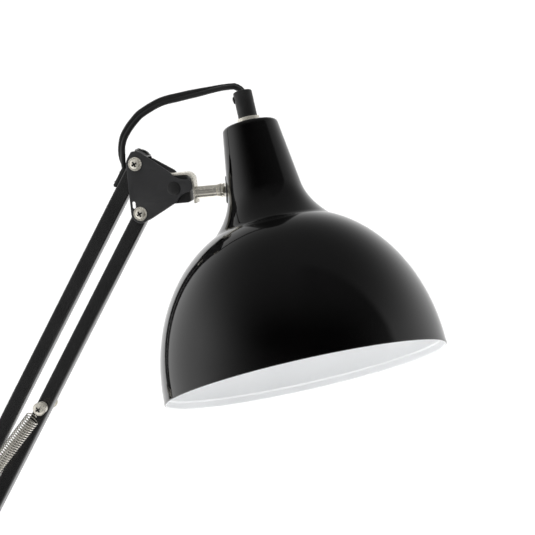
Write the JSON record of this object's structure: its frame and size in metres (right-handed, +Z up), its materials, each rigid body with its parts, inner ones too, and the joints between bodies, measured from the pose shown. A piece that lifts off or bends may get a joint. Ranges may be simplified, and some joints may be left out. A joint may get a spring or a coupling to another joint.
{
  "type": "desk lamp",
  "caption": "Counterbalanced swing arm desk lamp: round weighted base, two parallelogram arms of square tube with springs, and a bell shade on a tilting, swivelling head.",
  "frame": {"origin": "centre of the underside of the base, on the table", "axes": "+Z up; the arms move in the XZ plane and the head reaches towards +X; +Y is away from the viewer of the picture"},
  "size_m": [0.4745, 0.2635, 0.7166],
  "materials": {
    "black_paint": "satin black powder coat",
    "gloss_black": "gloss black enamel, white inside",
    "nickel": "nickel plate",
    "spring_steel": "nickel plated spring wire",
    "iron": "rough casting",
    "black_rubber": "matt",
    "black_plastic": "satin moulded",
    "cord": "satin black flexible sheath",
    "ceramic": "glazed white",
    "opal_glass": "opal"
  },
  "bodies": {
    "base": {"base_pad": "black_rubber", "base_weight": "iron", "base_cover": "black_paint", "swivel_bush": "black_plastic", "lead_gland": "black_rubber", "lead_run_a": "cord", "switch_housing": "black_plastic", "lead_run_b": "cord", "lead_coil": "cord", "lead_tail": "cord", "lead_plug": "black_plastic"},
    "rocker": {"switch_rocker": "black_plastic"},
    "post": {"swivel_post": "black_paint", "base_plate_near": "black_paint", "base_plate_far": "black_paint", "base_pivot_rear": "nickel", "base_pivot_front": "nickel", "post_grommet": "black_rubber", "base_loop": "cord"},
    "lower_rear_arm": {"lower_rear_tube": "black_paint", "lower_spring_bolt": "nickel", "lower_sleeve_bottom": "black_rubber", "lower_sleeve_top": "black_rubber"},
    "lower_front_arm": {"lower_front_tube": "black_paint"},
    "lower_springs": {"lower_spring_near": "spring_steel", "lower_spring_far": "spring_steel"},
    "elbow": {"elbow_plate_near": "black_paint", "elbow_plate_far": "black_paint", "elbow_pivot_low_rear": "nickel", "elbow_pivot_low_front": "nickel", "elbow_pivot_high_front": "nickel", "elbow_pivot_high_rear": "nickel", "elbow_loop": "cord"},
    "upper_rear_arm": {"upper_rear_tube": "black_paint", "upper_sleeve_bottom": "black_rubber", "upper_sleeve_top": "black_rubber"},
    "upper_front_arm": {"upper_front_tube": "black_paint", "upper_spring_bolt": "nickel"},
    "upper_springs": {"upper_spring_near": "spring_steel", "upper_spring_far": "spring_steel"},
    "head_bracket": {"head_plate_near": "black_paint", "head_plate_far": "black_paint", "head_pivot_rear": "nickel", "head_pivot_front": "nickel", "knuckle_rivet": "black_paint", "head_loop": "cord"},
    "knuckle": {"knuckle_block": "black_plastic", "knuckle_strap": "nickel", "stem": "nickel", "stem_collar": "nickel", "stem_nut": "nickel"},
    "shade": {"saddle_washer": "black_paint", "shade_shell": "gloss_black", "neck_washer": "nickel", "cord_grip": "black_plastic", "grip_screw": "nickel", "lampholder_cap": "black_plastic", "lampholder_skirt": "ceramic", "bulb_cap": "nickel", "bulb_glass": "opal_glass"}
  },
  "joints": [
    {"name": "base_swivel", "type": "hinge", "parent": "base", "child": "post", "pos_m": [0, 0, 0], "axis": [0, 0, 1], "range_deg": [-170, 170]},
    {"name": "rocker", "type": "hinge", "parent": "base", "child": "rocker", "pos_m": [-0.17, -0.078, 0.0152], "axis": [1, 0, 0], "range_deg": [-14, 0]},
    {"name": "lower_arm", "type": "hinge", "parent": "post", "child": "lower_rear_arm", "pos_m": [-0.013, 0, 0.058], "axis": [0, 1, 0], "range_deg": [-15, 50], "deforming": ["base_loop"]},
    {"name": "lower_front", "type": "hinge", "parent": "post", "child": "lower_front_arm", "pos_m": [0.013, 0, 0.058], "axis": [0, 1, 0], "range_deg": [-15, 50]},
    {"name": "lower_spring_stretch", "type": "slide", "parent": "lower_rear_arm", "child": "lower_springs", "axis": [-0.4226, 0, 0.9063], "range_m": [-0.00659, 0.02198], "deforming": ["lower_spring_near", "lower_spring_far"]},
    {"name": "elbow_level", "type": "hinge", "parent": "lower_rear_arm", "child": "elbow", "pos_m": [-0.13978, 0, 0.32989], "axis": [0, 1, 0], "range_deg": [-50, 15], "deforming": ["elbow_loop"]},
    {"name": "upper_arm", "type": "hinge", "parent": "elbow", "child": "upper_rear_arm", "pos_m": [-0.11743, 0, 0.38529], "axis": [0, 1, 0], "range_deg": [-8, 70]},
    {"name": "upper_front", "type": "hinge", "parent": "elbow", "child": "upper_front_arm", "pos_m": [-0.11378, 0, 0.34989], "axis": [0, 1, 0], "range_deg": [-8, 70]},
    {"name": "upper_spring_stretch", "type": "slide", "parent": "upper_front_arm", "child": "upper_springs", "axis": [-0.756, 0, -0.6546], "range_m": [-0.00467, 0.04083], "deforming": ["upper_spring_near", "upper_spring_far"]},
    {"name": "head_level", "type": "hinge", "parent": "upper_rear_arm", "child": "head_bracket", "pos_m": [0.02619, 0, 0.66002], "axis": [0, 1, 0], "range_deg": [-70, 8], "deforming": ["head_loop"]},
    {"name": "head_tilt", "type": "hinge", "parent": "head_bracket", "child": "knuckle", "pos_m": [0.05459, 0, 0.64362], "axis": [0, 1, 0], "range_deg": [-75, 20]},
    {"name": "shade_swivel", "type": "hinge", "parent": "knuckle", "child": "shade", "pos_m": [0.05522, 0, 0.63866], "axis": [0.9919, 0, 0.1271], "range_deg": [-50, 80]}
  ],
  "couplings": [
    {"joint": "lower_front", "follows": "lower_arm", "ratio": 1},
    {"joint": "elbow_level", "follows": "lower_arm", "ratio": -1},
    {"joint": "lower_spring_stretch", "follows": "lower_arm", "m_per_rad": 0.025183},
    {"joint": "upper_front", "follows": "upper_arm", "ratio": 1},
    {"joint": "head_level", "follows": "upper_arm", "ratio": -1},
    {"joint": "upper_spring_stretch", "follows": "upper_arm", "m_per_rad": 0.033415}
  ]
}
